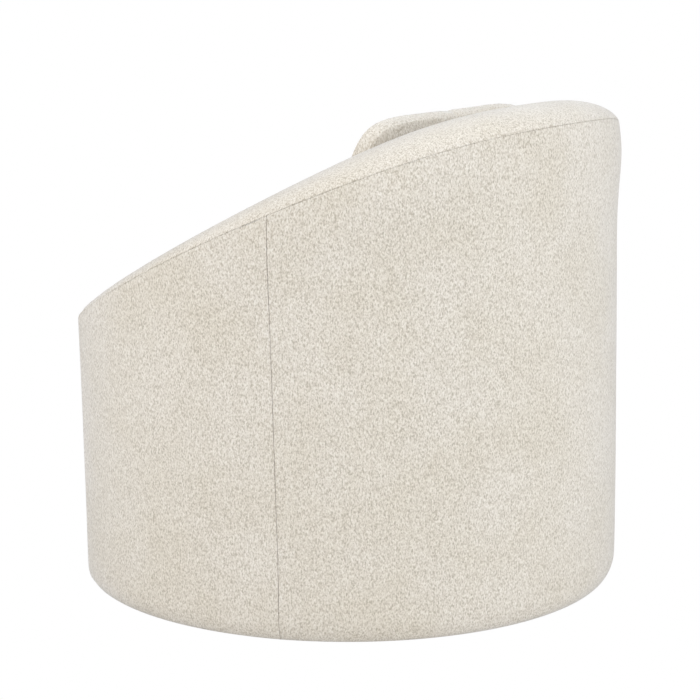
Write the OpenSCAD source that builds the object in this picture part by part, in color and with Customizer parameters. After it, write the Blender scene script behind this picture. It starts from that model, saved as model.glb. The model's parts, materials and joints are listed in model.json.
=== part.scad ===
// Barrel armchair on a hidden swivel base.
// A round upholstered wall runs from one arm front, round the back, to the other. Its rim slopes
// down from the back to the arms. A plywood frame stands inside the wall, a loose cushion lies on a
// webbed deck, and a small pillow leans in the back.
// The origin is on the floor, on the swivel's axis. +Z is up, +Y is the back of the chair, and +X is
// the side of the sitter's left hand. All sizes are in millimetres.

/* [Overall] */
// Depth from the seat front to the back
depth = 765; // [740:5:800]
// Share of the depth that is the radius of the round back and sides
roundness = 0.5556; // [0.55:0.0004:0.56]
// Height of the rim at the middle of the back
back_h = 768; // [740:1:800]
// How much lower the rim is beside the middle of the seat
side_drop = 180; // [170:1:195]
// Fall of the rim towards the front, per unit of depth
rim_slope = 0.49; // [0.42:0.01:0.5]
// Softness of the turn from the sloping rim to the level back
rim_blend = 24; // [15:1:35]
// Gap between the upholstery and the floor
floor_gap = 12; // [11:1:14]

/* [Outer wall] */
// How far the arms stop short of the seat front, as a share of the body's radius
arm_setback = 0.12; // [0.115:0.001:0.13]
// Squareness of the outer corner of each arm front
arm_square = 18; // [14:1:20]
// How far the back leans in by the height of the rim
back_lean = 22.5; // [12:0.5:28]
// How far the sides lean out by that height
side_flare = 14.5; // [6:0.5:18]
// How far the arm fronts lean out by that height
front_flare = 25; // [12:0.5:28]
// Swell of the padding under the rim at the back
back_swell = 9; // [0:1:12]
// Depth of the middle of that swell below the rim
swell_drop = 75; // [65:1:85]
// Half height of that swell
swell_h = 55; // [45:1:60]
// Height of the rounded rim above the straight walls
rim_rise = 30; // [26:1:36]
// How far the bottom edge is rounded inwards
foot_in = 21; // [19:1:24]
// Height of the rounding of the bottom edge
foot_up = 39; // [35:1:45]
// Angle from the middle of the back to each side seam
side_seam = 69; // [60:1:76]

/* [Seat] */
// Thickness of the wall at the floor, from the outside to the round seat well
wall_t = 135; // [130:1:145]
// How far each arm closes in towards the front
arm_close = 60; // [50:1:65]
// Radius of the slow bow across the seat front, as a share of the body's radius
bow_share = 0.9647; // [0.93:0.001:1.03]
// Height of the deck under the cushion
deck_z = 300; // [295:1:320]
// Thickness of the seat cushion
cushion_h = 130; // [100:1:135]
// Clearance round the seat cushion
cushion_gap = 3; // [2:0.5:8]

/* [Pillow] */
// How far each end of the pillow stays inside the width of the seat well
pillow_inset = 69; // [64:1:90]
// Height of the pillow along its face
pillow_h = 330; // [280:5:340]
// Width of the band round the pillow's edge
pillow_band = 20; // [16:2:40]
// Thickness of the pillow at its middle
pillow_t = 95; // [80:5:110]
// Backward lean of the pillow in degrees
pillow_lean = 18; // [12:1:20]

/* [Padding and covers] */
// Thickness of the cover cloth
cover_t = 2.5; // [1.5:0.5:3]
// Thickness of the wadding under the outside covers
wadding_t = 6; // [4:1:8]
// Thickness of the foam on the inside of the walls
wall_foam = 38; // [30:1:42]
// Thickness of the foam on the seat front
front_foam = 17; // [14:1:18]
// Thickness of the felt pad on the webbing
deck_pad_t = 12; // [8:1:14]
// Thickness of the bent fibreboard panels
board_t = 3; // [2:0.5:4]

/* [Frame] */
// Thickness of the plywood rings and rails
ply_t = 18; // [15:1:20]
// Width of the bottom ring
bottom_ring_w = 110; // [90:1:112]
// Width of the seat ring
seat_ring_w = 80; // [75:1:90]
// Thickness of the upright ribs
rib_t = 18; // [12:1:24]
// Thickness of the posts in the arm fronts
post_t = 30; // [20:1:34]
// Width of the webbing straps
strap_w = 60; // [50:1:66]
// Distance between the middles of the straps
strap_pitch = 80; // [75:1:95]
// Thickness of the webbing straps
strap_t = 2; // [1.5:0.5:2.5]

/* [Swivel base] */
// Gap round the base board, inside the bottom ring
base_gap = 16; // [12:1:25]
// Thickness of the base board
base_t = 18; // [15:1:18]
// Height of the floor glides
glide_h = 4; // [3:1:5]
// Radius of the floor glides
glide_r = 15; // [12:1:20]
// Side of the square swivel plates
plate_w = 250; // [245:1:260]
// Thickness of each swivel plate
plate_t = 2.5; // [2:0.1:3]
// Gap between the swivel plates
plate_gap = 6; // [5:0.5:6.5]
// Radius of the circle of bearing balls
race_r = 100; // [90:1:105]
// Radius of each bearing ball
ball_r = 4; // [3.5:0.1:4]
// Number of bearing balls
ball_count = 24; // [12:1:30]
// Radius of the rivet on the swivel's axis
rivet_r = 10; // [6:1:14]

/* [Hidden] */
$fn = 64;

cloth = "#e2dbd0";
foam = "#f0e6c0";
wadding = "#f6f6f2";
plywood = "#c8a574";
fibreboard = "#9b7a52";
steel = "#a9adb0";

// Layers lie this far apart, sloping ones a little further, and glued wood this far from its seat.
layer_gap = 0.4;
slope_gap = 1.6;
glue_gap = 0.2;
body_r = roundness * depth;
side_h = back_h - side_drop;
arc_y = depth / 2 - body_r;
front_y = depth - body_r;
bow_r = bow_share * body_r;
bow_y = bow_r - front_y;
arm_front = front_y - arm_setback * body_r;
seat_r = body_r - wall_t;
pillow_w = 2 * (seat_r - pillow_inset);
// Stations round the wall stand this many degrees apart.
step = 6;
// The arm fronts begin to close at the last whole step before their corner and end after it.
corner_a = acos(-arm_front / body_r);
last = floor(corner_a / step - 1);
arm_a = last * step;
tip_a = corner_a + 5;
// Turning points of the rounded arm front, as degrees of its quarter turn. Only covers have the last.
tip_turns = [20, 36, 50, 64, 75, 84, 88];
// The front border covers the rest of the circle.
border_a = tip_a - 0.9;
border_n = 14;
cover_last = last + len(tip_turns);
tip_last = cover_last - 1;

wadding_d = cover_t + layer_gap;
outer_board_d = wadding_d + wadding_t + layer_gap;
outer_frame_d = outer_board_d + board_t + layer_gap;
wall_foam_d = cover_t + layer_gap;
inner_board_d = wall_foam_d + wall_foam + layer_gap;
inner_frame_d = inner_board_d + board_t + 2 * layer_gap;
front_foam_d = cover_t + layer_gap;
front_board_d = front_foam_d + front_foam + layer_gap;
front_frame_d = front_board_d + board_t + layer_gap;
ring_d = foot_in + 3;
rib_clear = 0.6;

base_r = depth / 2 - bottom_ring_w - front_frame_d - base_gap;
bearing_z = glide_h + base_t;
rails_z = bearing_z + 2 * plate_t + plate_gap;
bottom_ring_z = rails_z - ply_t;
roll_z = floor_gap + foot_up;
deck_top = deck_z;
deck_pad_z = deck_top - cover_t - layer_gap - deck_pad_t;
straps_z = min(deck_pad_z - 2 * strap_t - 2 * layer_gap, deck_top - front_board_d);
seat_ring_z = straps_z - ply_t;
lap = 50;
lap_r = 22;

// ---- Shape of the wall. Angles run from the middle of the back, and +X is positive. ----

// Level that the rim would reach if the back and the slope met in a corner.
ramp_back = side_h + rim_slope * body_r;
rim_cap = back_h + rim_blend * rim_blend / (ramp_back - back_h);

function ahead(a) = max(-cos(a), 0.05);
function plan_r(a) = cos(a) > -0.05 ? body_r
    : body_r * pow(1 + pow(body_r * ahead(a) / arm_front, arm_square), -1 / arm_square);
function ramp_z(a) = side_h + rim_slope * plan_r(a) * cos(a);
function rim_z(a) = (ramp_z(a) + rim_cap
    - sqrt(pow(ramp_z(a) - rim_cap, 2) + 4 * rim_blend * rim_blend)) / 2;
function wall_top(a) = rim_z(a) - rim_rise;
function lean(a) = -back_lean * pow(max(cos(a), 0), 2) + front_flare * pow(max(-cos(a), 0), 2)
    + side_flare * pow(sin(a), 2);
function swell(a, z) = back_swell * exp(-pow((z - rim_z(a) + swell_drop) / swell_h, 2)) * max(cos(a), 0);
function wall_r(a, z) = plan_r(a) + lean(a) * pow(max(z - roll_z, 0) / (back_h - roll_z), 1.5)
    + swell(a, z);
function top_r(a) = wall_r(a, wall_top(a));

// Half width of the seat well beside angle a, and its distance from the middle along that angle.
function well_x(a) = seat_r - arm_close * pow(max(abs(a) - 90, 0) / 50, 2);
function inner_r(a) = abs(a) <= 90 ? seat_r : well_x(a) / max(sin(abs(a)), 0.3);
function bow(a) = bow_y * cos(a) + sqrt(pow(bow_y * cos(a), 2) + bow_r * bow_r - bow_y * bow_y);

// ---- Stations. Whole steps run round the wall, and finer ones close the arm fronts. ----

function side(i) = i < 0 ? -1 : 1;
function tip_turn(i) = tip_turns[abs(i) - last - 1];
function tip_at(d) = tip_a - atan(d / plan_r(tip_a));
function station_a(i, d) = abs(i) <= last ? step * i
    : side(i) * (arm_a + (tip_at(d) - arm_a) * sqrt(sin(tip_turn(i))));
function narrow(i) = abs(i) <= last ? 1 : sqrt(cos(tip_turn(i)));

// Distance out and height of a point of the wall's section, d inside the surface. q runs from 0 to 1
// under the bottom edge, to 2 up the outside, to 3 over the rim and to 4 down to z = low inside.
function foot_pt(r, d, q, n = 1) = let (w = foot_in * n * n)
    [r - w + (w - d * n) * sin(90 * q) - d * (1 - n), roll_z - (foot_up - d) * cos(90 * q)];
function outside_pt(a, d, q) = let (z = roll_z + (wall_top(a) - roll_z) * (q - 1))
    [wall_r(a, z) - d, z];
function rim_pt(a, d, q, n) = let (w = (top_r(a) - inner_r(a)) * n / 2, t = 180 * (q - 2))
    [top_r(a) - w + (w - d) * cos(t), wall_top(a) + (rim_rise * n - d * n) * sin(t)];
function inside_pt(a, d, q, n, low) = let (z = wall_top(a) + (low - wall_top(a)) * (q - 3))
    [wall_r(a, z) - (wall_r(a, z) - inner_r(a)) * n + d, z];
function wall_pt(a, d, q, n = 1, low = 0) =
    q < 1 ? foot_pt(plan_r(a), d, q, n)
    : q < 2 ? outside_pt(a, d, q)
    : q < 3 ? rim_pt(a, d, q, n)
    : inside_pt(a, d, q, n, low);

// The same for the front border. q runs to 1 under the edge, to 2 up the face, to 3 over the top
// edge and to 4 back along the top.
function border_pt(a, d, q) =
    q < 1 ? foot_pt(bow(a), d, q)
    : q < 2 ? [bow(a) - d, roll_z + (deck_top - lap_r - roll_z) * (q - 1)]
    : q < 3 ? [bow(a) - lap_r + (lap_r - d) * cos(90 * (q - 2)),
        deck_top - lap_r + (lap_r - d) * sin(90 * (q - 2))]
    : [bow(a) - lap_r - (lap - lap_r) * (q - 3), deck_top - d];

// Values of q along each stretch. The outside has more of them near the rim, where it swells.
outside_q = [1, 1.3, 1.55, 1.72, 1.8, 1.86, 1.92, 1.96, 2];
seam_q = 2.04;
// Stretches under the edge and over either half of the rim, shared by all layers so that they nest.
foot_q = [0.2, 0.4, 0.6, 0.8];
rim_out_q = [2.1, 2.2, 2.3, 2.38, 2.46];
rim_in_q = [2.54, 2.62, 2.7, 2.8, 2.9];
inside_q = [3.25, 3.5, 3.75, 4];

// ---- Building blocks ----

// Turns a distance out and a height at angle a into a point.
function spin(a, p) = [p[0] * sin(a), p[0] * cos(a), p[1]];
function reverse(list) = [for (k = [len(list) - 1:-1:0]) list[k]];

// Faces of a strip of quads between rings j and k of n points each, as triangles. The quads before
// and after the turn are cut opposite ways, so that a thin layer has the same thickness all over.
function sides(n, j, k, turn) = [for (i = [0:n - 1]) let (i2 = (i + 1) % n)
    each i < turn
        ? [[j * n + i, k * n + i, k * n + i2], [j * n + i, k * n + i2, j * n + i2]]
        : [[j * n + i, k * n + i, j * n + i2], [k * n + i, k * n + i2, j * n + i2]]];
// Faces that close a ring of n points whose two halves run side by side.
function lid(n, j) = [for (i = [0:n / 2 - 2])
    each [[j * n + i, j * n + i + 1, j * n + n - 2 - i], [j * n + i, j * n + n - 2 - i, j * n + n - 1 - i]]];
function flip(faces) = [for (f = faces) reverse(f)];

// A solid through a row of rings. Each ring is two chains of points, out one side and back, or one
// chain that is closed by its last side.
module loft(rings, one_chain = false) {
    n = len(rings[0]);
    end = len(rings) - 1;
    turn = one_chain ? n - 1 : n / 2;
    polyhedron(
        points = [for (ring = rings) each ring],
        faces = concat(lid(n, 0), flip(lid(n, end)), [for (j = [0:end - 1]) each sides(n, j, j + 1, turn)])
    );
}

// A thin bowl between two rows of rings, open at the first ring and closed at the last.
module bowl(outer, inner) {
    n = len(outer[0]);
    m = len(outer);
    end = m - 1;
    polyhedron(
        points = [for (ring = concat(outer, inner)) each ring],
        faces = concat(
            [for (j = [0:end - 1]) each sides(n, j, j + 1, n)],
            flip(lid(n, end)),
            [for (j = [0:end - 1]) each flip(sides(n, m + j, m + j + 1, n))],
            lid(n, m + end),
            flip(sides(n, 0, m, n))
        )
    );
}

// Places round the wall: the angle at depth d0, the angle at depth d1, how far the wall has closed,
// and the height that the inside goes down to.
function places(i0, i1, d0, d1, low = 0, foot = 0) = [for (i = [i0:i1])
    [station_a(i, d0), station_a(i, d1), narrow(i), abs(i) > last ? foot : low]];

// A layer of the wall between depths d0 and d1, through the given places.
module wall_layer(spots, qs, d0, d1) {
    translate([0, arc_y, 0])
        loft([for (p = spots) concat(
                [for (q = qs) spin(p[0], wall_pt(p[0], d0, q, p[2], p[3]))],
                [for (q = reverse(qs)) spin(p[1], wall_pt(p[1], d1, q, p[2], p[3]))]
            )]);
}

// A flat layer of the given outline, from z up.
module sheet(outline, z, t) {
    translate([0, arc_y, z])
        linear_extrude(t)
            polygon(outline);
}
function whole_turn() = [-180:step:179];
function outline(radii) = [for (k = [0:len(radii) - 1]) let (a = step * k - 180)
    [radii[k] * sin(a), radii[k] * cos(a)]];

// ---- Swivel base ----

glide_ring = base_r - 2 * glide_r;

module floor_glides() {
    color("#3a3a3a")
        for (a = [0:60:300])
            rotate(a)
                translate([glide_ring, 0, 0])
                    cylinder(r = glide_r, h = glide_h);
}

plate_fix = plate_w / 2 - 20;
fix_places = [for (x = [-1, 1], y = [-1, 1]) [x * plate_fix, y * plate_fix]];
rivet_head_r = rivet_r + 4;
rivet_head_t = 2;
screw_r = 2;
bolt_r = 3;
hole_clear = 0.05;

module base_board() {
    color(plywood)
        difference() {
            translate([0, 0, glide_h])
                cylinder(r = base_r, h = base_t, $fn = 128);
            translate([0, 0, glide_h - 1])
                cylinder(r = rivet_head_r + 6, h = base_t + 2);
            for (p = fix_places)
                translate([p[0], p[1], bearing_z - screw_depth])
                    cylinder(r = screw_r + hole_clear, h = screw_depth + 1);
        }
}

screw_depth = 12;
ball_z = bearing_z + plate_t + plate_gap / 2;

// Groove that the balls run in, with a running clearance.
module race() {
    translate([0, 0, ball_z])
        rotate_extrude($fn = 128)
            translate([race_r, 0])
                circle(r = ball_r + 0.1);
}

module swivel_plate(z, hole, rivet_hole) {
    difference() {
        translate([-plate_w / 2, -plate_w / 2, z])
            cube([plate_w, plate_w, plate_t]);
        race();
        translate([0, 0, z - 1])
            cylinder(r = rivet_hole, h = plate_t + 2);
        for (p = fix_places)
            translate([p[0], p[1], z - 1])
                cylinder(r = hole, h = plate_t + 2);
    }
}

module lower_swivel_plate() {
    color(steel)
        swivel_plate(bearing_z, screw_r + hole_clear, rivet_r + hole_clear);
}

module upper_swivel_plate() {
    color(steel)
        swivel_plate(bearing_z + plate_t + plate_gap, bolt_r + hole_clear, rivet_r + hole_clear);
}

module lower_plate_screws() {
    color(steel)
        for (p = fix_places)
            translate([p[0], p[1], bearing_z + plate_t - screw_depth - plate_t + 1]) {
                cylinder(r = screw_r, h = screw_depth + plate_t - 1);
                translate([0, 0, screw_depth + plate_t - 1])
                    cylinder(r = 2 * screw_r, h = 1.6);
            }
}

module bearing_balls() {
    color("#d5d8da")
        for (k = [0:ball_count - 1])
            rotate(360 * k / ball_count)
                translate([race_r, 0, ball_z])
                    sphere(r = ball_r);
}

module ball_cage() {
    color("#e8e4d8")
        difference() {
            translate([0, 0, ball_z - 1.2])
                rotate_extrude($fn = 128)
                    translate([race_r - 7, 0])
                        square([14, 2.4]);
            for (k = [0:ball_count - 1])
                rotate(360 * k / ball_count)
                    translate([race_r, 0, ball_z - 3])
                        cylinder(r = ball_r + 0.1, h = 6);
        }
}

module axis_rivet() {
    top = bearing_z + 2 * plate_t + plate_gap + hole_clear;
    color(steel) {
        translate([0, 0, bearing_z - rivet_head_t])
            cylinder(r = rivet_head_r, h = rivet_head_t);
        translate([0, 0, bearing_z])
            cylinder(r = rivet_r, h = top - bearing_z);
        translate([0, 0, top])
            cylinder(r = rivet_head_r, h = rivet_head_t);
    }
}

bolt_head_t = 1.8;
nut_t = 5;

module upper_plate_bolts() {
    start = bearing_z + plate_t + plate_gap;
    color(steel)
        for (p = fix_places)
            translate([p[0], p[1], start]) {
                translate([0, 0, -bolt_head_t])
                    cylinder(r = 2 * bolt_r, h = bolt_head_t);
                cylinder(r = bolt_r, h = plate_t + ply_t + nut_t + 1);
            }
}

module upper_plate_nuts() {
    color(steel)
        for (p = fix_places)
            translate([p[0], p[1], rails_z + ply_t])
                difference() {
                    cylinder(r = 5.8, h = nut_t, $fn = 6);
                    translate([0, 0, -1])
                        cylinder(r = bolt_r + hole_clear, h = nut_t + 2);
                }
}

// ---- Frame ----

// Inside of the seat well at angle a, down to the bowed front less the given amount.
function well(a, less) = abs(a) > 170 ? bow(a) - less : min(inner_r(a), bow(a) - less);
function bottom_ring_r(a) = abs(a) <= arm_a ? plan_r(a) - ring_d
    : well(a, front_frame_d) - 1.5;
function seat_ring_r(a) = abs(a) < arm_a ? inner_r(a) + inner_frame_d - layer_gap
    : well(a, front_frame_d) - 1;

module plywood_ring(outer, w, z) {
    translate([0, arc_y, z])
        linear_extrude(ply_t)
            difference() {
                polygon(outline(outer));
                polygon(outline([for (r = outer) r - w]));
            }
}

module bottom_ring() {
    color(plywood)
        plywood_ring([for (a = whole_turn()) bottom_ring_r(a)], bottom_ring_w, bottom_ring_z);
}

module seat_ring() {
    color(plywood)
        plywood_ring([for (a = whole_turn()) seat_ring_r(a)], seat_ring_w, seat_ring_z);
}

// Planks that carry the swivel and rest on the bottom ring, front and back.
rail_w = 60;
rail_back = body_r - ring_d - 100;
rail_front = front_y - front_frame_d - 70;

module swivel_rails() {
    color(plywood)
        for (x = [-1, 1])
            difference() {
                translate([x * plate_fix - rail_w / 2, arc_y - rail_front, rails_z])
                    cube([rail_w, rail_front + rail_back, ply_t]);
                for (p = fix_places)
                    translate([p[0], p[1], rails_z - 1])
                        cylinder(r = bolt_r + hole_clear, h = ply_t + 2);
            }
}

// An upright in the wall at angle a. It stands on the bottom ring and follows the outer board.
rib_foot_z = bottom_ring_z + ply_t + glue_gap;
function rib_ring(a, in_r) = let (
        top = wall_top(a) - ply_t - slope_gap - layer_gap,
        foot_r = plan_r(a) - ring_d - rib_clear,
        zs = [for (q = outside_q) min(outside_pt(a, 0, q)[1] + layer_gap, top)]
    ) concat(
        [spin(a, [foot_r, rib_foot_z]), spin(a, [foot_r, roll_z + layer_gap])],
        [for (z = zs) spin(a, [wall_r(a, z) - outer_frame_d - rib_clear, z])],
        [for (z = reverse(zs)) spin(a, [in_r, z])],
        [spin(a, [in_r, roll_z]), spin(a, [in_r, rib_foot_z])]
    );

function rib_in_r(a, t) = inner_r(abs(a) + rib_half(t)) + inner_frame_d;
function rib_half(t) = atan(t / 2 / body_r);

module rib(a, t) {
    translate([0, arc_y, 0])
        loft([for (b = [a - rib_half(t), a + rib_half(t)]) rib_ring(b, rib_in_r(a, t))]);
}

back_rib_angles = [-45, -15, 15, 45];
arm_rib_angles = [-105, -75, 75, 105];
post_angles = [-arm_a + step / 2, arm_a - step / 2];
front_rib_angles = [165, 180, 195];

module back_ribs() {
    color(plywood)
        for (a = back_rib_angles)
            rib(a, rib_t);
}

module arm_ribs() {
    color(plywood)
        for (a = arm_rib_angles)
            rib(a, rib_t);
}

module arm_posts() {
    color(plywood)
        for (a = post_angles)
            rib(a, post_t);
}

// Short uprights between the rings behind the seat front.
module front_ribs() {
    color(plywood)
        for (a = front_rib_angles)
            translate([0, arc_y, rib_foot_z])
                rotate(90 - a)
                    translate([bow(a) - front_frame_d - rib_clear - 50, -rib_t / 2, 0])
                        cube([50, rib_t, seat_ring_z - rib_foot_z - glue_gap]);
}

// Blocks under the seat ring, glued to the inner edges of the ribs.
block_h = 40;
block_l = 55;
block_w = 24;

module support_blocks() {
    color(plywood)
        for (a = concat(back_rib_angles, arm_rib_angles, post_angles)) {
            in_r = rib_in_r(a, len(search(a, post_angles)) > 0 ? post_t : rib_t) * cos(rib_half(post_t));
            translate([0, arc_y, seat_ring_z - block_h - glue_gap])
                rotate(90 - a)
                    translate([in_r - glue_gap - block_l, -block_w / 2, 0])
                        cube([block_l, block_w, block_h]);
        }
}

module top_rail() {
    translate([0, arc_y, 0])
        color(plywood)
            loft([for (i = [-last:last]) let (
                    a = step * i,
                    z = wall_top(a) - layer_gap,
                    r = min(wall_r(a, z), wall_r(a, z - ply_t)) - outer_frame_d - layer_gap,
                    r2 = inner_r(a) + inner_frame_d
                ) [for (p = [[r, z - ply_t], [r, z], [r2, z], [r2, z - ply_t]]) spin(a, p)]]);
}

// Bent panel in front of the rings.
function border_stations() = [for (k = [0:border_n]) border_a + (360 - 2 * border_a) * k / border_n];

module border_layer(qs, d0, d1) {
    translate([0, arc_y, 0])
        loft([for (a = border_stations()) concat(
                [for (q = qs) spin(a, border_pt(a, d0, q))],
                [for (q = reverse(qs)) spin(a, border_pt(a, d1, q))]
            )]);
}

module front_board() {
    low = roll_z - 8;
    high = seat_ring_z + ply_t - 3;
    color(fibreboard)
        translate([0, arc_y, 0])
            loft([for (a = border_stations())
                [for (p = [[front_board_d, low], [front_board_d, high],
                        [front_board_d + board_t, high], [front_board_d + board_t, low]])
                    spin(a, [bow(a) - p[0], p[1]])]]);
}

module outer_board() {
    color(fibreboard)
        wall_layer(places(-last, last, 0, 0), outside_q, outer_board_d, outer_board_d + board_t);
}

// Inner layers stand on the seat ring.
inner_low = seat_ring_z + ply_t + layer_gap;

module inner_layer(d, t) {
    translate([0, arc_y, 0])
        loft([for (i = [-last:last]) let (a = step * i, z = wall_top(a) - layer_gap, r = inner_r(a) + d)
            [for (p = [[r + t, inner_low], [r + t, z], [r, z], [r, inner_low]]) spin(a, p)]]);
}

module inner_board() {
    color(fibreboard)
        inner_layer(inner_board_d, board_t);
}

// ---- Seat deck ----

// Clear half length of a strap at distance p from the middle, towards the back or the sides.
strap_reach = seat_r - 2;
function strap_back(p) = sqrt(pow(strap_reach, 2) - pow(abs(p) + strap_w / 2, 2));
function strap_front(p) = sqrt(pow(bow_r - lap - 6, 2) - pow(abs(p), 2)) - bow_y;
function strap_side(p) = p > 0 ? strap_back(p)
    : well_x(90 + atan((strap_w / 2 - p) / (seat_r - arm_close / 2))) - 2;

module strap(x0, y0, x1, y1, z) {
    translate([x0, arc_y + y0, z])
        cube([x1 - x0, y1 - y0, strap_t]);
}

module lengthwise_webbing() {
    m = floor((seat_r - 1.5 * strap_w) / strap_pitch);
    color("#2f2f31")
        for (x = [-m * strap_pitch:strap_pitch:m * strap_pitch])
            strap(x - strap_w / 2, -strap_front(abs(x) + strap_w / 2), x + strap_w / 2,
                strap_back(x), straps_z);
}

module crosswise_webbing() {
    color("#2f2f31")
        for (y = [lap + 1.8 * strap_w - front_y:strap_pitch:seat_r - 2 * strap_w])
            strap(-strap_side(y), y - strap_w / 2, strap_side(y), y + strap_w / 2,
                straps_z + strap_t + layer_gap / 3);
}

function deck_outline() = outline([for (a = whole_turn()) well(a, lap) - 1]);

module deck_pad() {
    color("#8d8a86")
        sheet(deck_outline(), deck_pad_z, deck_pad_t);
}

module deck_cover() {
    color("#d9d2c6")
        sheet(deck_outline(), deck_top - cover_t, cover_t);
}

// ---- Padding ----

module outer_wadding() {
    color(wadding)
        wall_layer(places(-last, last, 0, 0), outside_q, wadding_d, wadding_d + wadding_t);
}

module wall_foam_pad() {
    color(foam)
        inner_layer(wall_foam_d, wall_foam);
}

// Half-round roll on the rim.
rim_foam_q = concat([2, seam_q], rim_out_q, rim_in_q, [5 - seam_q, 3]);

module rim_foam() {
    color(foam)
        translate([0, arc_y, 0])
            loft([for (i = [-last:last]) let (a = step * i, z = wall_top(a) + slope_gap)
                [for (q = rim_foam_q) let (p = rim_pt(a, wadding_d, q, 1)) spin(a, [p[0], max(p[1], z)])]],
                one_chain = true);
}

// Foam that fills one arm front, from the floor edge roll up and over the rim.
module arm_foam(i0, i1) {
    d = wall_foam_d;
    translate([0, arc_y, 0])
        loft([for (i = [i0:i1]) let (
                a = station_a(i, d) + (abs(i) == last ? side(i) * atan(2 * layer_gap / body_r) : 0),
                n = narrow(i)
            ) concat(
                [for (q = outside_q) if (q < 2) spin(a, wall_pt(a, d, q, n))],
                [for (q = rim_foam_q) spin(a, rim_pt(a, d, q, n))],
                [for (q = inside_q) spin(a, inside_pt(a, d, q, n, roll_z))]
            )], one_chain = true);
}

module left_arm_foam() {
    color(foam)
        arm_foam(last, tip_last);
}

module right_arm_foam() {
    color(foam)
        arm_foam(-tip_last, -last);
}

module edge_roll() {
    d = wadding_d;
    qs = concat(foot_q, [0.97]);
    color(wadding)
        translate([0, arc_y, 0])
            loft([for (i = [-last - 2:last + 2]) let (a = station_a(i, d)) concat(
                    [for (q = qs) spin(a, foot_pt(plan_r(a), d, q))],
                    [for (q = reverse(qs))
                        spin(a, [plan_r(a) - ring_d + layer_gap, foot_pt(plan_r(a), d, q)[1]])]
                )]);
}

module front_foam_pad() {
    color(foam)
        border_layer(concat(foot_q, [1, 2, 2.33, 2.66, 3, 4]), front_foam_d, front_foam_d + front_foam);
}

// ---- Covers ----

cover_q = concat([0], foot_q, outside_q, [seam_q]);
seam_gap = 0.08;

// Whole steps between the side seams.
function back_stations() = [for (i = [-last:last]) if (abs(step * i) < side_seam - 0.5) step * i];

module outside_back_cover() {
    color(cloth)
        wall_layer([for (a = concat(-side_seam, back_stations(), side_seam)) [a, a, 1, 0]], cover_q,
            0, cover_t);
}

// The covers of the sides run from their seams round the arm fronts.
first_a = side_seam + seam_gap;
first_i = ceil((first_a + 0.5) / step);

module outside_left_cover() {
    color(cloth)
        wall_layer(concat([[first_a, first_a, 1, 0]], places(first_i, cover_last, 0, cover_t)), cover_q,
            0, cover_t);
}

module outside_right_cover() {
    color(cloth)
        wall_layer(concat(places(-cover_last, -first_i, 0, cover_t), [[-first_a, -first_a, 1, 0]]), cover_q,
            0, cover_t);
}

// Band over the rim, sewn to the outside covers and to the inside cover.
rim_q = concat([seam_q + 0.003], rim_out_q, rim_in_q, [4.997 - seam_q]);

module rim_cover() {
    color(cloth)
        wall_layer(places(-cover_last, cover_last, 0, cover_t), rim_q, 0, cover_t);
}

module inside_cover() {
    color(cloth)
        wall_layer(places(-cover_last, cover_last, 0, cover_t, inner_low, floor_gap + 3),
            concat([5 - seam_q, 3], inside_q), 0, cover_t);
}

module front_cover() {
    color(cloth)
        border_layer(concat([0], foot_q, [1, 2, 2.33, 2.66, 3, 4]), 0, cover_t);
}

dust_t = 1;
function foot_r(a) = abs(a) <= arm_a ? plan_r(a) - foot_in - 1 : well(a, foot_in) - 1.5;

module dust_cover() {
    color("#26262a")
        difference() {
            sheet(outline([for (a = whole_turn()) foot_r(a)]), bottom_ring_z - glue_gap - dust_t, dust_t);
            cylinder(r = base_r + 8, h = rails_z, $fn = 128);
        }
}

// ---- Seat cushion ----

cushion_z = deck_top + layer_gap;
seat_top = cushion_z + cushion_h;
function cushion_r(a) = min(well(a, 0), abs(a) > 160 ? bow(a) : inner_r(a) - cushion_gap);
function cushion_outline(less) = outline([for (a = whole_turn()) cushion_r(a) - less]);

module cushion_foam() {
    inset = cover_t + layer_gap;
    color(foam)
        sheet(cushion_outline(inset), cushion_z + inset, cushion_h - 2 * inset);
}

module cushion_top_panel() {
    color(cloth)
        sheet(cushion_outline(0), seat_top - cover_t, cover_t);
}

module cushion_bottom_panel() {
    color(cloth)
        sheet(cushion_outline(0), cushion_z, cover_t);
}

module cushion_border() {
    color(cloth)
        translate([0, arc_y, cushion_z + cover_t])
            linear_extrude(cushion_h - 2 * cover_t)
                difference() {
                    polygon(cushion_outline(0));
                    polygon(cushion_outline(cover_t));
                }
}

// ---- Pillow. Its own X runs across, Z up its face and Y from its front to its back. ----

pillow_n = 32;
swells = [0, 14, 28, 42, 56, 70, 82];
function bend(v, e) = v < 0 ? -pow(-v, e) : pow(v, e);
// Rounded outline of the pillow, k times its size and less inside.
function pillow_outline(k, less) = [for (j = [0:pillow_n - 1]) let (b = 360 * (j + 0.5) / pillow_n)
    [(pillow_w / 2 - less) * k * bend(cos(b), 0.3), (pillow_h / 2 - less) * k * bend(sin(b), 0.3)]];
// Ring of a domed face at swell angle t, less inside its surface.
function pillow_ring(t, less) = let (dome = (pillow_t - pillow_band) / 2)
    [for (p = pillow_outline(pow(cos(t), 0.6), less))
        [p[0], pillow_band / 2 + (dome - less) * sin(t), p[1]]];
function leaned(p) = [p[0], p[1] * cos(pillow_lean) + p[2] * sin(pillow_lean),
    p[2] * cos(pillow_lean) - p[1] * sin(pillow_lean)];
pillow_points = [for (t = swells) each [for (p = pillow_ring(t, 0)) leaned(p)]];
// The pillow stands on the cushion and leans on the wall, and its upper corners reach over the rim.
pillow_z = seat_top + layer_gap - min([for (p = pillow_points) p[2]]);
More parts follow.
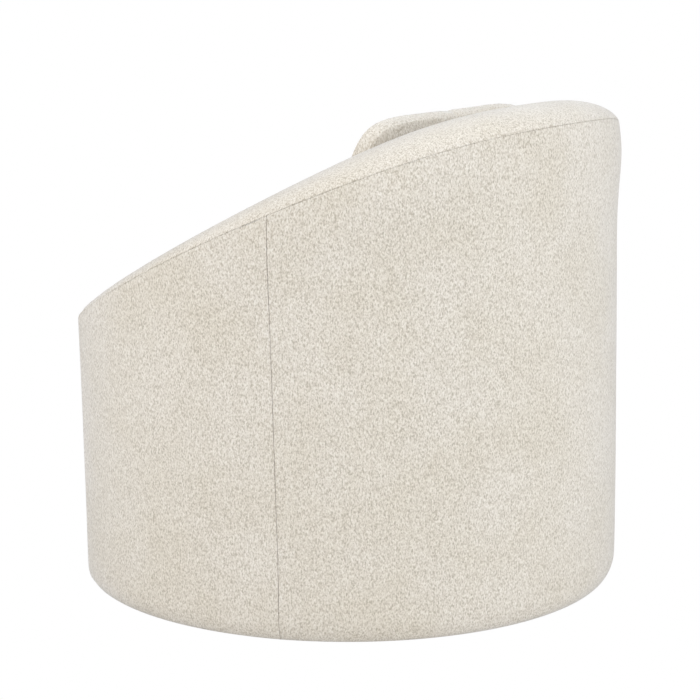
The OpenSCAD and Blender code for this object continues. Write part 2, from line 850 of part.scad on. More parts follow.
// How far back the wall and its rounded rim leave room, x from the middle and at height z.
function room_r(a, z) = let (w = (top_r(a) - seat_r) / 2, s = max(z - wall_top(a), 0) / rim_rise)
    s < 1 ? top_r(a) - w - w * sqrt(1 - s * s) : 2 * body_r;
function room_y(x, z) = let (a = asin(min(abs(x) / (seat_r + 15), 0.95)))
    sqrt(pow(room_r(a, z) - 1.5, 2) - x * x);
pillow_y = min([for (p = pillow_points) room_y(p[0], p[2] + pillow_z) - p[1]]);

module place_pillow() {
    translate([0, arc_y + pillow_y, pillow_z])
        rotate([-pillow_lean, 0, 0])
            children();
}

module pillow_filling() {
    inset = cover_t + layer_gap;
    color(wadding)
        place_pillow()
            loft(concat(
                [for (t = reverse(swells)) [for (p = pillow_ring(t, inset)) [p[0], -p[1], p[2]]]],
                [for (t = swells) pillow_ring(t, inset)]
            ));
}

module pillow_panel() {
    translate([0, layer_gap / 4, 0])
        bowl([for (t = swells) pillow_ring(t, 0)], [for (t = swells) pillow_ring(t, cover_t)]);
}

module pillow_front_panel() {
    color(cloth)
        place_pillow()
            mirror([0, 1, 0])
                pillow_panel();
}

module pillow_back_panel() {
    color(cloth)
        place_pillow()
            pillow_panel();
}

// Band between the two faces of the pillow.
module pillow_border() {
    color(cloth)
        place_pillow()
            rotate([90, 0, 0])
                linear_extrude(pillow_band, center = true)
                    difference() {
                        polygon(pillow_outline(1, 0));
                        polygon(pillow_outline(1, cover_t));
                    }
}

floor_glides();
base_board();
lower_swivel_plate();
lower_plate_screws();
bearing_balls();
ball_cage();
axis_rivet();
upper_swivel_plate();
upper_plate_bolts();
upper_plate_nuts();
swivel_rails();
bottom_ring();
back_ribs();
arm_ribs();
arm_posts();
front_ribs();
seat_ring();
support_blocks();
top_rail();
front_board();
outer_board();
inner_board();
lengthwise_webbing();
crosswise_webbing();
deck_pad();
deck_cover();
outer_wadding();
wall_foam_pad();
rim_foam();
left_arm_foam();
right_arm_foam();
edge_roll();
front_foam_pad();
outside_back_cover();
outside_left_cover();
outside_right_cover();
rim_cover();
inside_cover();
front_cover();
dust_cover();
cushion_foam();
cushion_top_panel();
cushion_bottom_panel();
cushion_border();
pillow_filling();
pillow_front_panel();
pillow_back_panel();
pillow_border();
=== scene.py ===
# %% [markdown]
# # An upholstered barrel armchair
# A round padded wall runs from one arm front, round the back, to the other. Its cover is sewn from
# a few large panels of looped cream cloth. This lesson dresses the construction model: the frame,
# the swivel and the foam stay where they are, and the cloth is made over them.

import json
import math

import bmesh
import bpy
import numpy as np
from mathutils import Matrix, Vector, noise
from mathutils.bvhtree import BVHTree


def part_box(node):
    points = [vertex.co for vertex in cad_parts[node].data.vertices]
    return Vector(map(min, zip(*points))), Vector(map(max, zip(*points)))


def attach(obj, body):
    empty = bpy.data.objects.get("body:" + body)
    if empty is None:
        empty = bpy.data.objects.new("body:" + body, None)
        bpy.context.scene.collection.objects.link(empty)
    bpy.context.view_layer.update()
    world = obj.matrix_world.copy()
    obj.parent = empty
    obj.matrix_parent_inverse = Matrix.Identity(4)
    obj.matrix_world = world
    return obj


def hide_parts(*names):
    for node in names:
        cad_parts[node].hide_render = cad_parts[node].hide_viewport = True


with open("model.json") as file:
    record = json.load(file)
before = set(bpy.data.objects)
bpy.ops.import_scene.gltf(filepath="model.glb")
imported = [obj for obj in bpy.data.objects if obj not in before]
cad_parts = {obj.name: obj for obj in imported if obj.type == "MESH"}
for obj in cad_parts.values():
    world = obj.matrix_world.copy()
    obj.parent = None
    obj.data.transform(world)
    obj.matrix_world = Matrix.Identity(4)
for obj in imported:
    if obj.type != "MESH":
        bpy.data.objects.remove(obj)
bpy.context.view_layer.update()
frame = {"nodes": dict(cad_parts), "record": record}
nodes = frame["nodes"]
MM = 0.001

# The wall runs on a circle round an upright axis, which stands in the middle plane at this y.
BACK_RADIUS = 425 * MM
ARC_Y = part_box("outside_back_cover")[1][1] - BACK_RADIUS
print("axis of the wall at y", round(ARC_Y, 4))

# %% [markdown]
# ## Colours and small helpers
# Colours are picked as sRGB hex values, as on a colour card, and Blender's sockets want linear
# light, so one function turns one into the other. A second one adds a node in a single line.

# %% Helpers for materials
def colour(text):
    """An sRGB hex value as linear red, green, blue and alpha."""
    out = []
    for k in (1, 3, 5):
        c = int(text[k:k + 2], 16) / 255
        out.append(c / 12.92 if c <= 0.04045 else ((c + 0.055) / 1.055) ** 2.4)
    return (*out, 1.0)


def add(tree, kind, inputs=None, **settings):
    """One node with its settings. An input is a value, or the output socket to link to it."""
    node = tree.nodes.new(kind)
    for name, value in settings.items():
        setattr(node, name, value)
    for name, value in (inputs or {}).items():
        if isinstance(value, bpy.types.NodeSocket):
            tree.links.new(value, node.inputs[name])
        else:
            node.inputs[name].default_value = value
    return node


def new_material(name):
    """An empty material and the vector of the object's own coordinates, in metres."""
    mat = bpy.data.materials.new(name)
    mat.use_nodes = True
    mat.node_tree.nodes.clear()
    place = add(mat.node_tree, "ShaderNodeTexCoord")
    return mat, mat.node_tree, place.outputs["Object"]


def ramp(tree, value, stops):
    """A colour ramp through (position, hex colour) stops."""
    node = add(tree, "ShaderNodeValToRGB", {"Fac": value})
    marks = node.color_ramp.elements
    while len(marks) < len(stops):
        marks.new(0.5)
    for mark, (position, text) in zip(marks, stops):
        mark.position = position
        mark.color = colour(text)
    return node.outputs["Color"]


def scaled(tree, vector, scale):
    """The vector multiplied, with one factor for each direction."""
    return add(tree, "ShaderNodeMapping", {"Vector": vector, "Scale": scale}).outputs[0]


def maths(tree, operation, a, b=0.0):
    return add(tree, "ShaderNodeMath", {0: a, 1: b}, operation=operation).outputs[0]


def tinted(tree, base, tint, share, mode="MULTIPLY"):
    """Two colours mixed by a share from 0 to 1."""
    node = add(tree, "ShaderNodeMix", {"Factor": share}, data_type="RGBA", blend_type=mode)
    for socket, value in ((node.inputs[6], base), (node.inputs[7], tint)):
        if isinstance(value, bpy.types.NodeSocket):
            tree.links.new(value, socket)
        else:
            socket.default_value = value
    return node.outputs[2]


def finish_material(tree, base, roughness, height=None, relief=0.0, strength=1.0, **more):
    """The surface itself. Relief is the depth in metres that the height stands for."""
    inputs = {"Base Color": base, "Roughness": roughness}
    inputs.update({name.replace("_", " "): value for name, value in more.items()})
    if height is not None:
        bump = add(tree, "ShaderNodeBump", {"Height": height, "Distance": relief, "Strength": strength})
        inputs["Normal"] = bump.outputs["Normal"]
    shader = add(tree, "ShaderNodeBsdfPrincipled", inputs)
    add(tree, "ShaderNodeOutputMaterial", {"Surface": shader.outputs["BSDF"]})


# %% [markdown]
# ## Looped cream cloth
# Boucle is woven with a fancy yarn whose loops stand out of the cloth. Seen from a step away it is
# a field of little upright grains, about 2 mm wide and 4 mm tall, with small shaded gaps between
# them. Each grain differs slightly in lightness, and fine fibres blur its edge. Sheen on top gives
# the pale bloom that a fibrous cloth has where it turns away from the eye.

# %% Looped cloth
GRAIN_WIDTH, GRAIN_HEIGHT = 2.1 * MM, 3.8 * MM
LOOP_WIDTH, LOOP_HEIGHT = 2.0 * MM, 3.2 * MM
LOOP_RELIEF = 1.6 * MM


def looped_cloth(name, light="#F7F2EA", mid="#E5DED3", dark="#C2B9AB"):
    """Upright grains from a stretched noise, with a dip between the loops: painted shade and relief."""
    mat, tree, place = new_material(name)
    upright = scaled(tree, place, (1 / GRAIN_WIDTH, 1 / GRAIN_WIDTH, 1 / GRAIN_HEIGHT))
    yarn = add(tree, "ShaderNodeTexNoise", {
        "Vector": upright, "Scale": 1.0, "Detail": 1.0, "Roughness": 0.5, "Distortion": 0.5})
    small = scaled(tree, place, (1 / LOOP_WIDTH, 1 / LOOP_WIDTH, 1 / LOOP_HEIGHT))
    loops = add(tree, "ShaderNodeTexVoronoi", {"Vector": small, "Scale": 1.0})
    fibres = add(tree, "ShaderNodeTexNoise", {"Vector": place, "Scale": 1400.0, "Detail": 2.0})
    patches = add(tree, "ShaderNodeTexNoise", {"Vector": place, "Scale": 9.0, "Detail": 2.0})
    # The loop distance term darkens the gaps between loop cells as painted shade, and the same tone is the
    # height below.
    tone = maths(tree, "SUBTRACT", maths(tree, "ADD", yarn.outputs["Fac"], 0.14),
                 maths(tree, "MULTIPLY", loops.outputs["Distance"], 0.28))
    base = ramp(tree, tone, [(0.26, dark), (0.5, mid), (0.72, light)])
    base = tinted(tree, base, ramp(tree, fibres.outputs["Fac"], [(0.3, "#DDD9D2"), (0.65, "#FFFFFF")]), 0.4)
    base = tinted(tree, base, ramp(tree, patches.outputs["Fac"], [(0.35, "#FAF9F6"), (0.65, "#FFFFFF")]), 1.0)
    height = maths(tree, "ADD", maths(tree, "MULTIPLY", fibres.outputs["Fac"], 0.15), tone)
    finish_material(tree, base, 0.96, height, LOOP_RELIEF, 0.45, Sheen_Weight=0.5, Sheen_Roughness=0.4,
                    Sheen_Tint=colour("#F4F7FF"))
    return mat


cream = looped_cloth("looped_cream_cloth")
print("made", cream.name)

# %% [markdown]
# ## Finishes of the hidden structure
# These show when the cushion is lifted, from below, and in a cut-away view. Foam, felt, wadding and
# bonded cloth are fibres or bubbles too small to see, so a fine noise between two close colours and
# a little relief are enough. Wood needs the same noise drawn out along its grain. Webbing and lining
# cloth are woven, so their pattern is two crossing waves at the real distance of their threads.

# %% Wood, foam, webbing, metal and plastic
def plain_material(name, pale, deep, scale, stretch=(1, 1, 1), relief=0.3 * MM, roughness=0.7, **more):
    """A noise pattern between two close colours, with the same pattern as relief."""
    mat, tree, place = new_material(name)
    pattern = add(tree, "ShaderNodeTexNoise", {
        "Vector": scaled(tree, place, stretch), "Scale": scale, "Detail": 4.0, "Roughness": 0.6})
    base = ramp(tree, pattern.outputs["Fac"], [(0.3, deep), (0.7, pale)])
    finish_material(tree, base, roughness, pattern.outputs["Fac"], relief, 0.5, **more)
    return mat


def woven_material(name, pale, deep, pitch, roughness=0.9, relief=0.4 * MM):
    """A plain weave: two sets of threads, pitch metres apart, that pass over each other in turn."""
    mat, tree, place = new_material(name)
    turn = math.pi / pitch
    part = add(tree, "ShaderNodeSeparateXYZ", {"Vector": scaled(tree, place, (turn, turn, turn))})
    across = maths(tree, "SINE", maths(tree, "ADD", part.outputs["X"], part.outputs["Z"]))
    along = maths(tree, "SINE", maths(tree, "ADD", part.outputs["Y"], part.outputs["Z"]))
    weave = maths(tree, "ADD", maths(tree, "MULTIPLY", maths(tree, "MULTIPLY", across, along), 0.5), 0.5)
    base = ramp(tree, weave, [(0.1, deep), (0.8, pale)])
    finish_material(tree, base, roughness, weave, relief, 0.6)
    return mat


finishes = {
    # Boucle: woven with a looped yarn. Soft, matt and grainy.
    "cover_fabric": cream,
    # Polyurethane foam: blown and cut. Pale yellow, with open bubbles.
    "foam": plain_material("polyurethane_foam", "#F3E9C6", "#D9CCA2", 900.0, relief=0.8 * MM, roughness=0.95),
    # Polyester wadding: carded fibres in a fleece. White and quite matt.
    "wadding": plain_material("polyester_wadding", "#F7F7F3", "#DEDEDA", 260.0, (1, 1, 0.3), 1.5 * MM, 1.0),
    # Birch plywood: peeled, glued and sawn. Yellow brown, with fine lines where the layers are cut.
    "plywood": plain_material("birch_plywood", "#D8B986", "#B98F5C", 14.0, (1, 1, 9), 0.15 * MM, 0.6),
    # Hard fibreboard: hot pressed. Brown, dense and nearly smooth.
    "fibreboard": plain_material("hard_fibreboard", "#9F7A52", "#7E5D3D", 500.0, relief=0.1 * MM,
                                 roughness=0.65),
    # Elastic webbing: woven round rubber threads. Dark, with a clear weave.
    "webbing": woven_material("elastic_webbing", "#4A4A4E", "#222226", 2.0 * MM),
    # Felt: pressed wool and fibre. Grey, with no shine at all.
    "felt": plain_material("pressed_felt", "#979087", "#6E685F", 700.0, relief=0.8 * MM, roughness=1.0),
    # Lining cloth: plain woven cotton. Cream, with a fine even weave.
    "deck_cloth": woven_material("lining_cloth", "#DDD4C6", "#BDB2A1", 1.0 * MM),
    # Dust cover: spun fibres bonded with heat. Nearly black, a little smoother than felt.
    "dust_cloth": plain_material("spunbond_dust_cloth", "#2B2B2F", "#18181B", 600.0, relief=0.2 * MM,
                                 roughness=0.85),
    # Zinc plated steel: pressed and plated. A grey metal with a soft reflection.
    "zinc_steel": plain_material("zinc_plated_steel", "#C9CCCE", "#A4A9AD", 180.0, relief=0.02 * MM,
                                 roughness=0.32, Metallic=1.0),
    # Bearing steel: ground and polished. A bright metal with a sharp reflection.
    "bearing_steel": plain_material("polished_bearing_steel", "#DFE1E3", "#D2D5D8", 60.0, relief=0.005 * MM,
                                    roughness=0.12, Metallic=1.0),
    # Acetal: moulded. Off-white and slightly waxy.
    "cage_plastic": plain_material("acetal_plastic", "#EFEBE1", "#E3DED2", 300.0, relief=0.03 * MM,
                                   roughness=0.4),
    # Nylon: moulded. Dark grey, worn slightly dull on the floor.
    "glide_plastic": plain_material("nylon_glide", "#3A3A3A", "#242424", 400.0, relief=0.05 * MM,
                                    roughness=0.45),
}
slots = {part["node"]: part["material_slot"] for part in frame["record"]["subparts"]}
for name, node in nodes.items():
    node.data.materials.clear()
    node.data.materials.append(finishes[slots[name]])
print("finishes", len(finishes))

# %% [markdown]
# ## Cover panels
# Each panel starts as a copy of its construction node. Its loose triangles are merged and joined
# into quads, its edges are rounded where they turn into a seam, and a subdivision surface makes the
# round of the wall smooth.

# %% A smooth copy of a construction node
def only(obj):
    """Select this object alone, and make it the active one."""
    bpy.ops.object.select_all(action="DESELECT")
    obj.select_set(True)
    bpy.context.view_layer.objects.active = obj


def copy_of(name, node):
    """A new object from a copy of a construction node, with its triangles merged into quads."""
    piece = bpy.data.objects.new(name, nodes[node].data.copy())
    bpy.context.scene.collection.objects.link(piece)
    only(piece)
    bpy.ops.object.mode_set(mode="EDIT")
    bpy.ops.mesh.select_all(action="SELECT")
    bpy.ops.mesh.remove_doubles(threshold=0.01 * MM)
    bpy.ops.mesh.tris_convert_to_quads(face_threshold=math.radians(60), shape_threshold=math.radians(60))
    bpy.ops.mesh.normals_make_consistent(inside=False)
    bpy.ops.object.mode_set(mode="OBJECT")
    return piece


def round_angle(x, y):
    """Degrees round the wall's axis, from the middle of the back to either side."""
    return np.degrees(np.arctan2(np.abs(x), y - ARC_Y))


SHARP = 50    # degrees by which an edge turns to be a seam edge
SLIGHT = 8    # degrees by which an upright edge of an arm front's outer corner turns


def keep_edges(piece):
    """Sharp edges stay where they are when the piece is subdivided.

    So do the upright edges of the arm fronts' outer corners, which the foam fills to the cloth.
    """
    mesh = bmesh.new()
    mesh.from_mesh(piece.data)
    crease = mesh.edges.layers.float.new("crease_edge")
    for edge in mesh.edges:
        a, b = (v.co for v in edge.verts)
        corner = 123 < round_angle((a.x + b.x) / 2, (a.y + b.y) / 2) < 135
        upright = abs(a.z - b.z) > 0.8 * (a - b).length
        edge[crease] = float(edge.calc_face_angle(0) > math.radians(SLIGHT if corner and upright else SHARP))
    mesh.to_mesh(piece.data)
    mesh.free()


def soften_edges(piece, width, chosen):
    """Round the chosen ones of the sharp edges."""
    mesh = bmesh.new()
    mesh.from_mesh(piece.data)
    edges = [e for e in mesh.edges if e.calc_face_angle(0) > math.radians(SHARP)
             and chosen((e.verts[0].co + e.verts[1].co) / 2)]
    bmesh.ops.bevel(mesh, geom=edges, offset=width, segments=2, profile=0.5, affect="EDGES",
                    clamp_overlap=False)
    mesh.to_mesh(piece.data)
    mesh.free()


def subdivide(piece, levels):
    only(piece)
    piece.modifiers.new("round", "SUBSURF").levels = levels
    bpy.ops.object.modifier_apply(modifier="round")
    bpy.ops.object.shade_smooth()


def points_of(piece):
    co = np.empty(len(piece.data.vertices) * 3)
    piece.data.vertices.foreach_get("co", co)
    return co.reshape(-1, 3)


def normals_of(piece):
    out = np.empty(len(piece.data.vertices) * 3)
    piece.data.vertex_normals.foreach_get("vector", out)
    return out.reshape(-1, 3)


def set_points(piece, co):
    piece.data.vertices.foreach_set("co", np.asarray(co, float).ravel())
    piece.data.update()


def dressed(piece, body, slot, *replaced):
    """Give a piece its finish and its body, and hide the construction nodes that it stands for."""
    piece.data.materials.clear()
    piece.data.materials.append(finishes[slot])
    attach(piece, body)
    if replaced:
        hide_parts(*replaced)
    print(piece.name, "faces", len(piece.data.polygons))


# %% Measures of a panel
def soft_field(co, wave, seed):
    """Smooth noise from -1 to 1 at each point. Wave is the size of its lumps in metres."""
    shift = Vector((seed, seed, seed))
    return np.array([noise.noise(Vector(p) / wave + shift) for p in co])


def surface_of(obj):
    """A tree that finds the nearest point of an object's surface."""
    co = [v.co[:] for v in obj.data.vertices]
    return BVHTree.FromPolygons(co, [p.vertices[:] for p in obj.data.polygons])


# %% [markdown]
# ## Seams
# Two panels that are sewn together touch. Subdivision draws their edges apart by a fraction of a
# millimetre, so each panel's edge is moved up to the panels that are finished. It comes closer in
# some places than in others, as a seam under tension does, so the line breaks up. The ends of the
# arm fronts are closed more firmly, because nothing lies behind them.

# %% Closing the seams
TIP_START = 136.8       # degrees round the wall where an arm front begins to close
TIP_RAMP = 0.3          # degrees over which the closing grows to its full amount
TIP_OVERLAP = 0.7 * MM
TIP_CLOSE = 6 * MM      # a gap up to this is closed fully, and a wider one less and less


def draw_together(co, trees, reach):
    """Points within reach of a finished panel move towards it, so that a seam doesn't gape."""
    out = co.copy()
    for tree in trees:
        for k, p in enumerate(co):
            found = tree.find_nearest(Vector(p), reach)
            if found[0] is not None:
                close = 0.35 + 0.45 * noise.noise(Vector(p) / 0.03)
                out[k] = p + (np.array(found[0]) - p) * close
    return out


def off_the_tips(p):
    """Whether a point is clear of the closing ends of the arm fronts."""
    return round_angle(p.x, p.y) < 130


def meet_at_tips(co, trees, reach):
    """The ends of the arm fronts turn out to the finished panels, so that the front closes in a seam."""
    out = co.copy()
    past = round_angle(co[:, 0], co[:, 1]) - TIP_START
    for k in np.flatnonzero(past > 0):
        way = Vector((co[k, 0], co[k, 1] - ARC_Y, 0)).normalized()
        back = Vector((-way.y * (1 if way.x > 0 else -1), abs(way.x), 0))
        for tree in trees:
            gap = tree.ray_cast(Vector(co[k]) + back * 1.2 * MM, way, reach)[3]
            if gap is None:
                continue
            move = gap + TIP_OVERLAP
            if gap >= TIP_CLOSE:
                move = (TIP_CLOSE + TIP_OVERLAP) * (reach - gap) / (reach - TIP_CLOSE)
            out[k] = co[k] + np.array(way) * move * min(1.0, past[k] / TIP_RAMP)
            break
    return out


def slant_seam(co):
    """Turn the foot of each side seam towards the back, less and less up to the rim."""
    out = co.copy()
    x, y = co[:, 0], co[:, 1] - ARC_Y
    near = np.exp(-((round_angle(co[:, 0], co[:, 1]) - 69) / 16) ** 2)
    down = np.clip((0.56 - co[:, 2]) / 0.45, 0, 1)
    turn = -np.sign(x) * near * down * math.radians(1.5)
    out[:, 0] = x * np.cos(turn) + y * np.sin(turn)
    out[:, 1] = y * np.cos(turn) - x * np.sin(turn) + ARC_Y
    return out


# %% [markdown]
# ## The six panels of the wall's cover
# Three panels go round the outside, one follows the rim, one lines the inside and one covers the
# front under the cushion. Cloth over wadding is never quite even, so slow lumps of a fraction of a
# millimetre lift it outwards. They fade out at the foot, where the cloth is stapled to the frame.

# %% The panels
# For each cover: what it lies on, the width of cloth that it is cut from, and its subdivision.
WALL = {
    "outside_back_cover": ("outer_wadding", 1.05, 2),
    "outside_left_cover": ("outer_wadding", 0.5, 2),
    "outside_right_cover": ("outer_wadding", 0.5, 2),
    "rim_cover": ("rim_foam", 2.1, 1),
    "inside_cover": ("wall_foam_pad", 1.4, 2),
    "front_cover": ("front_foam_pad", 0.6, 2),
}


def lifted(co):
    """The points moved away from the wall's axis by slow lumps."""
    lumps = soft_field(co, 0.13, 3.0) * 0.35 * MM + soft_field(co, 0.05, 9.0) * 0.15 * MM
    away = co - np.array([0, ARC_Y, 0])
    away[:, 2] = 0
    away /= np.maximum(np.linalg.norm(away, axis=1), 1e-6)[:, None]
    foot = np.clip((co[:, 2] - 0.02) / 0.04, 0, 1)
    return away * (lumps * foot)[:, None]


finished = []
for node, (under, width, levels) in WALL.items():
    piece = copy_of(node.replace("_cover", "_panel"), node)
    keep_edges(piece)
    subdivide(piece, levels)
    soften_edges(piece, 0.9 * MM, off_the_tips)
    co = points_of(piece)
    lift = lifted(co)
    if node.startswith("outside"):
        co = slant_seam(co)
    co = draw_together(co + lift, finished, 1.0 * MM)
    if node == "inside_cover":
        co = meet_at_tips(co, finished, 16 * MM)
    set_points(piece, co)
    finished.append(surface_of(piece))
    dressed(piece, "chair", "cover_fabric", node)

# %% [markdown]
# ## Deck cloth and dust cover
# Both are thin stretched cloths. Each is a fine grid, cut to its outline by its construction node,
# so that the straps under it can show as slow waves.

# %% Two stretched cloths
def stretched_cloth(name, node, waves, slot):
    """A fine flat slab of squares, cut to the node's outline, with slow waves of the given height."""
    low, high = (np.array(v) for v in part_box(node))
    size, middle = high - low, (high + low) / 2
    bpy.ops.object.select_all(action="DESELECT")
    across = max(size[0], size[1]) + 0.02
    squares = int(across / (12 * MM))
    bpy.ops.mesh.primitive_grid_add(x_subdivisions=squares, y_subdivisions=squares, size=across,
                                    location=(middle[0], middle[1], low[2] + 0.1 * size[2]))
    piece = bpy.context.object
    piece.name = name
    bpy.ops.object.mode_set(mode="EDIT")
    bpy.ops.mesh.select_all(action="SELECT")
    bpy.ops.mesh.extrude_region_move(TRANSFORM_OT_translate={"value": (0, 0, 0.8 * size[2])})
    bpy.ops.mesh.select_all(action="SELECT")
    bpy.ops.mesh.normals_make_consistent(inside=False)
    bpy.ops.object.mode_set(mode="OBJECT")
    bpy.ops.object.transform_apply(location=True, rotation=True, scale=True)
    cutter = copy_of("cutter", node)
    only(piece)
    cut = piece.modifiers.new("cut", "BOOLEAN")
    cut.operation, cut.solver, cut.object = "INTERSECT", "EXACT", cutter
    bpy.ops.object.modifier_apply(modifier="cut")
    bpy.data.objects.remove(cutter)
    co = points_of(piece)
    co[:, 2] += soft_field(co, 0.06, 5.0) * waves
    set_points(piece, co)
    only(piece)
    bpy.ops.object.shade_smooth()
    dressed(piece, "chair", slot, node)


stretched_cloth("deck_cloth", "deck_cover", 0.35 * MM, "deck_cloth")
stretched_cloth("dust_cloth", "dust_cover", 0.3 * MM, "dust_cloth")

# %% [markdown]
# ## Cushion and pillow
# Each starts from its own filling, a little inside the cloth. The block is cut into small squares,
# its edges are eased, and a cloth simulation with air pressure from inside swells it until the
# cloth is tight. The simulated cloth lies unevenly, so it is then drawn out or in to a set room round
# the filling, eased, divided and drawn once more. The room keeps the piece in its own space.

# %% Stuffed pieces
def stuffed(name, node, voxel, ease, room):
    """A swollen copy of a filling. Room is how far outside the filling a point may lie."""
    piece = copy_of(name, node)
    piece.data.remesh_voxel_size = voxel
    bpy.ops.object.voxel_remesh()
    smooth = piece.modifiers.new("ease", "SMOOTH")
    smooth.factor, smooth.iterations = 0.5, ease
    bpy.ops.object.modifier_apply(modifier="ease")
    # Twenty frames are enough for the cloth to come to rest.
    cloth = piece.modifiers.new("cloth", "CLOTH")
    cloth.settings.use_pressure = True
    cloth.settings.uniform_pressure_force = 4
    cloth.settings.effector_weights.gravity = 0
    for k in range(1, 21):
        bpy.context.scene.frame_set(k)
    bpy.ops.object.modifier_apply(modifier="cloth")
    bpy.context.scene.frame_set(1)
    tree = surface_of(nodes[node])
    co = points_of(piece)
    for k, p in enumerate(co):
        place, normal, _, _ = tree.find_nearest(Vector(p))
        out = (Vector(p) - place).dot(normal)
        most = room(np.array(place), np.array(normal))
        wanted = most if out > most else out + 0.85 * (most - out)
        co[k] = np.array(place + normal * wanted)
    set_points(piece, co)
    relax = piece.modifiers.new("relax", "SMOOTH")
    relax.factor, relax.iterations = 0.5, 6
    only(piece)
    bpy.ops.object.modifier_apply(modifier="relax")
    subdivide(piece, 1)
    co = points_of(piece)
    for k, p in enumerate(co):
        place, normal, _, _ = tree.find_nearest(Vector(p))
        out = (Vector(p) - place).dot(normal)
        co[k] = p + np.array(normal) * (room(np.array(place), np.array(normal)) - out) * 0.9
    set_points(piece, co)
    return piece


# %% Seat cushion
SEAM_DEPTH = 2.6 * MM
CUSHION_ROOM = 2.6 * MM
CROWN = 6.0 * MM


def cushion_room(place, normal):
    """The top is crowned: its cloth stands furthest off the foam in the middle of the seat."""
    if normal[2] <= 0.7:
        return CUSHION_ROOM
    off_middle = np.hypot(place[0] / 0.3, (place[1] + 0.12) / 0.27)
    return CUSHION_ROOM + CROWN * max(0.0, 1 - off_middle ** 2)


cushion = stuffed("seat_cushion_cover", "cushion_foam", 6.5 * MM, 8, cushion_room)
co, out = points_of(cushion), normals_of(cushion)
# The seam runs where the side turns into the top or the bottom, so the normal slants by half.
edge = np.exp(-((np.abs(out[:, 2]) - np.hypot(out[:, 0], out[:, 1])) / 0.2) ** 2)
pull = 0.6 + 0.4 * soft_field(co, 0.012, 2.0)
set_points(cushion, co - out * (edge * pull * SEAM_DEPTH)[:, None])
dressed(cushion, "seat_cushion", "cover_fabric", "cushion_foam", "cushion_top_panel", "cushion_bottom_panel",
        "cushion_border")

# %% [markdown]
# ## Pillow
# A lumbar pillow is two faces sewn to a narrow border. The two seams pull in where the border
# begins, the faces flatten towards their edges, and the pillow has been sat against, so one upper
# corner stands out like an ear and the top edge sags a little between the corners.

# %% Pillow
LEAN = math.radians(18)
HALF_BORDER = 10 * MM
SQUARENESS = 6.67       # power of the outline's curve: a higher one has squarer corners
middle = sum(np.array(corner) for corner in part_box("pillow_border")) / 2


def flat_pillow(co):
    """The pillow's own directions: along its width, through its thickness and up its face."""
    p = co - middle
    y = p[:, 1] * math.cos(LEAN) - p[:, 2] * math.sin(LEAN)
    z = p[:, 1] * math.sin(LEAN) + p[:, 2] * math.cos(LEAN)
    return p[:, 0], y, z


pillow = stuffed("lumbar_pillow", "pillow_filling", 5.0 * MM, 4, lambda place, normal: 3.0 * MM)
co, out = points_of(pillow), normals_of(pillow)
across, through, up = flat_pillow(co)
seam = np.exp(-((np.abs(through) - HALF_BORDER) / (2.6 * MM)) ** 2)
pull = 0.7 + 0.3 * soft_field(co, 0.012, 4.0)
co -= out * (seam * pull * SEAM_DEPTH)[:, None]
half = (np.abs(across).max(), up.max())
reach = (np.abs(across / half[0]) ** SQUARENESS + np.abs(up / half[1]) ** SQUARENESS) ** 0.15
dome = np.sign(through) * np.maximum(np.abs(through) - HALF_BORDER, 0)
flatter = dome * (np.sqrt(np.clip(1 - reach ** 3.33, 0, 1)) - 1)
co[:, 1] += flatter * math.cos(LEAN)
co[:, 2] -= flatter * math.sin(LEAN)
ear = np.exp(-((across + half[0]) ** 2 + (up - half[1]) ** 2) / 0.035 ** 2)
co[:, 0] -= ear * 14 * MM
co[:, 2] += ear * 6 * MM
sag = np.exp(-((across + 0.07) / 0.13) ** 2) * np.clip((up - 0.02) / 0.12, 0, 1)
co[:, 2] -= sag * 1.5 * MM
co += out * (soft_field(co, 0.07, 6.0) * 0.4 * MM)[:, None]
set_points(pillow, co)
dressed(pillow, "pillow", "cover_fabric", "pillow_filling", "pillow_front_panel", "pillow_back_panel",
        "pillow_border")

# %% [markdown]
# ## Studio
# The chair stands on a white floor in white air. To the camera both shine with a strength of 1,
# which is white. To everything else the floor is matt and pale, so it throws light back at the
# chair, and the air is weaker, so that the lamps give the chair its shape.

# %% White floor and air
scene = bpy.context.scene
scene.view_settings.view_transform = "Standard"


def white_stage(name):
    """White to the camera, and matt and pale to all other rays."""
    mat, tree, _ = new_material(name)
    rays = add(tree, "ShaderNodeLightPath")
    matt = add(tree, "ShaderNodeBsdfDiffuse", {"Color": (0.9, 0.9, 0.9, 1)})
    glow = add(tree, "ShaderNodeEmission", {"Color": (1, 1, 1, 1), "Strength": 1.0})
    mix = add(tree, "ShaderNodeMixShader", {
        0: rays.outputs["Is Camera Ray"], 1: matt.outputs[0], 2: glow.outputs[0]})
    add(tree, "ShaderNodeOutputMaterial", {"Surface": mix.outputs[0]})
    return mat


bpy.ops.object.select_all(action="DESELECT")
bpy.ops.mesh.primitive_plane_add(size=30, location=(0, 0, 0))
floor = bpy.context.object
floor.name = "studio_floor"
floor.data.materials.append(white_stage("studio_white"))

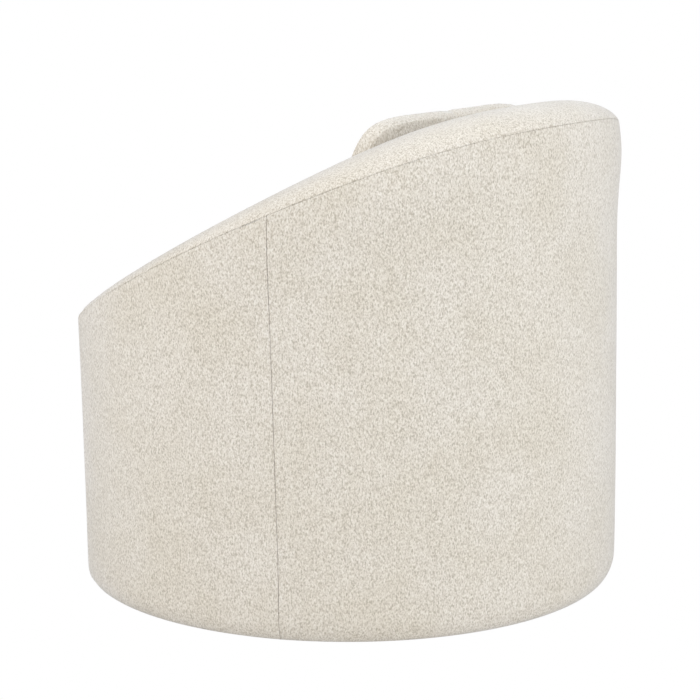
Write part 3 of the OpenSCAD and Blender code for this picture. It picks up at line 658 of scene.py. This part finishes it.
world = bpy.data.worlds.new("studio_air")
world.use_nodes = True
scene.world = world
air = world.node_tree
air.nodes.clear()
rays = add(air, "ShaderNodeLightPath")
soft = add(air, "ShaderNodeBackground", {"Color": (1, 1, 1, 1), "Strength": 0.52})
seen = add(air, "ShaderNodeBackground", {"Color": (1, 1, 1, 1), "Strength": 1.0})
mix = add(air, "ShaderNodeMixShader", {
    0: rays.outputs["Is Camera Ray"], 1: soft.outputs[0], 2: seen.outputs[0]})
add(air, "ShaderNodeOutputWorld", {"Surface": mix.outputs[0]})
print("made", floor.name, "and", world.name)

# %% [markdown]
# ## Camera and lamps
# A place round the chair is given as an azimuth, from the front towards the left arm, and an
# elevation. The camera looks from behind and to one side, through a long lens that keeps upright
# lines nearly parallel. A large lamp lights the side, a weaker cool one the back, and a cool one
# from above lightens the rim.

# %% Camera and lamps
LENS = 121.07           # mm, on a sensor that is 36 mm wide
DISTANCE = 3.7122
AZIMUTH = 126


def direction(azimuth, elevation):
    """A vector of length 1 towards a place round the chair. Both angles are in degrees."""
    a, e = math.radians(azimuth), math.radians(elevation)
    return Vector((math.sin(a) * math.cos(e), -math.cos(a) * math.cos(e), math.sin(e)))


right = Vector((math.cos(math.radians(AZIMUTH)), math.sin(math.radians(AZIMUTH)), 0))
target = right * 0.00276 + Vector((0, -0.0425, 0.3596))
view = direction(AZIMUTH, 11.27)
data = bpy.data.cameras.new("studio_camera")
data.lens = LENS
data.sensor_width = 36
camera = bpy.data.objects.new("studio_camera", data)
scene.collection.objects.link(camera)
camera.location = target + view * DISTANCE
camera.rotation_euler = view.to_track_quat("Z", "Y").to_euler()
scene.camera = camera


def lamp(name, energy, azimuth, elevation, tint=(1, 1, 1)):
    """A square lamp, 2 m wide and 3 m away, that faces the chair."""
    data = bpy.data.lights.new(name, "AREA")
    data.shape = "SQUARE"
    data.size = 2.0
    data.energy = energy
    data.color = tint
    obj = bpy.data.objects.new(name, data)
    scene.collection.objects.link(obj)
    away = direction(azimuth, elevation)
    obj.location = target + away * 3.0
    obj.rotation_euler = away.to_track_quat("Z", "Y").to_euler()


lamp("key_softbox", 38, 80, 42)
lamp("fill_softbox", 33, 186, 25, tint=(0.94, 0.97, 1.0))
lamp("top_softbox", 20, 300, 80, tint=(0.82, 0.91, 1.0))
print("camera at", [round(v, 3) for v in camera.location])
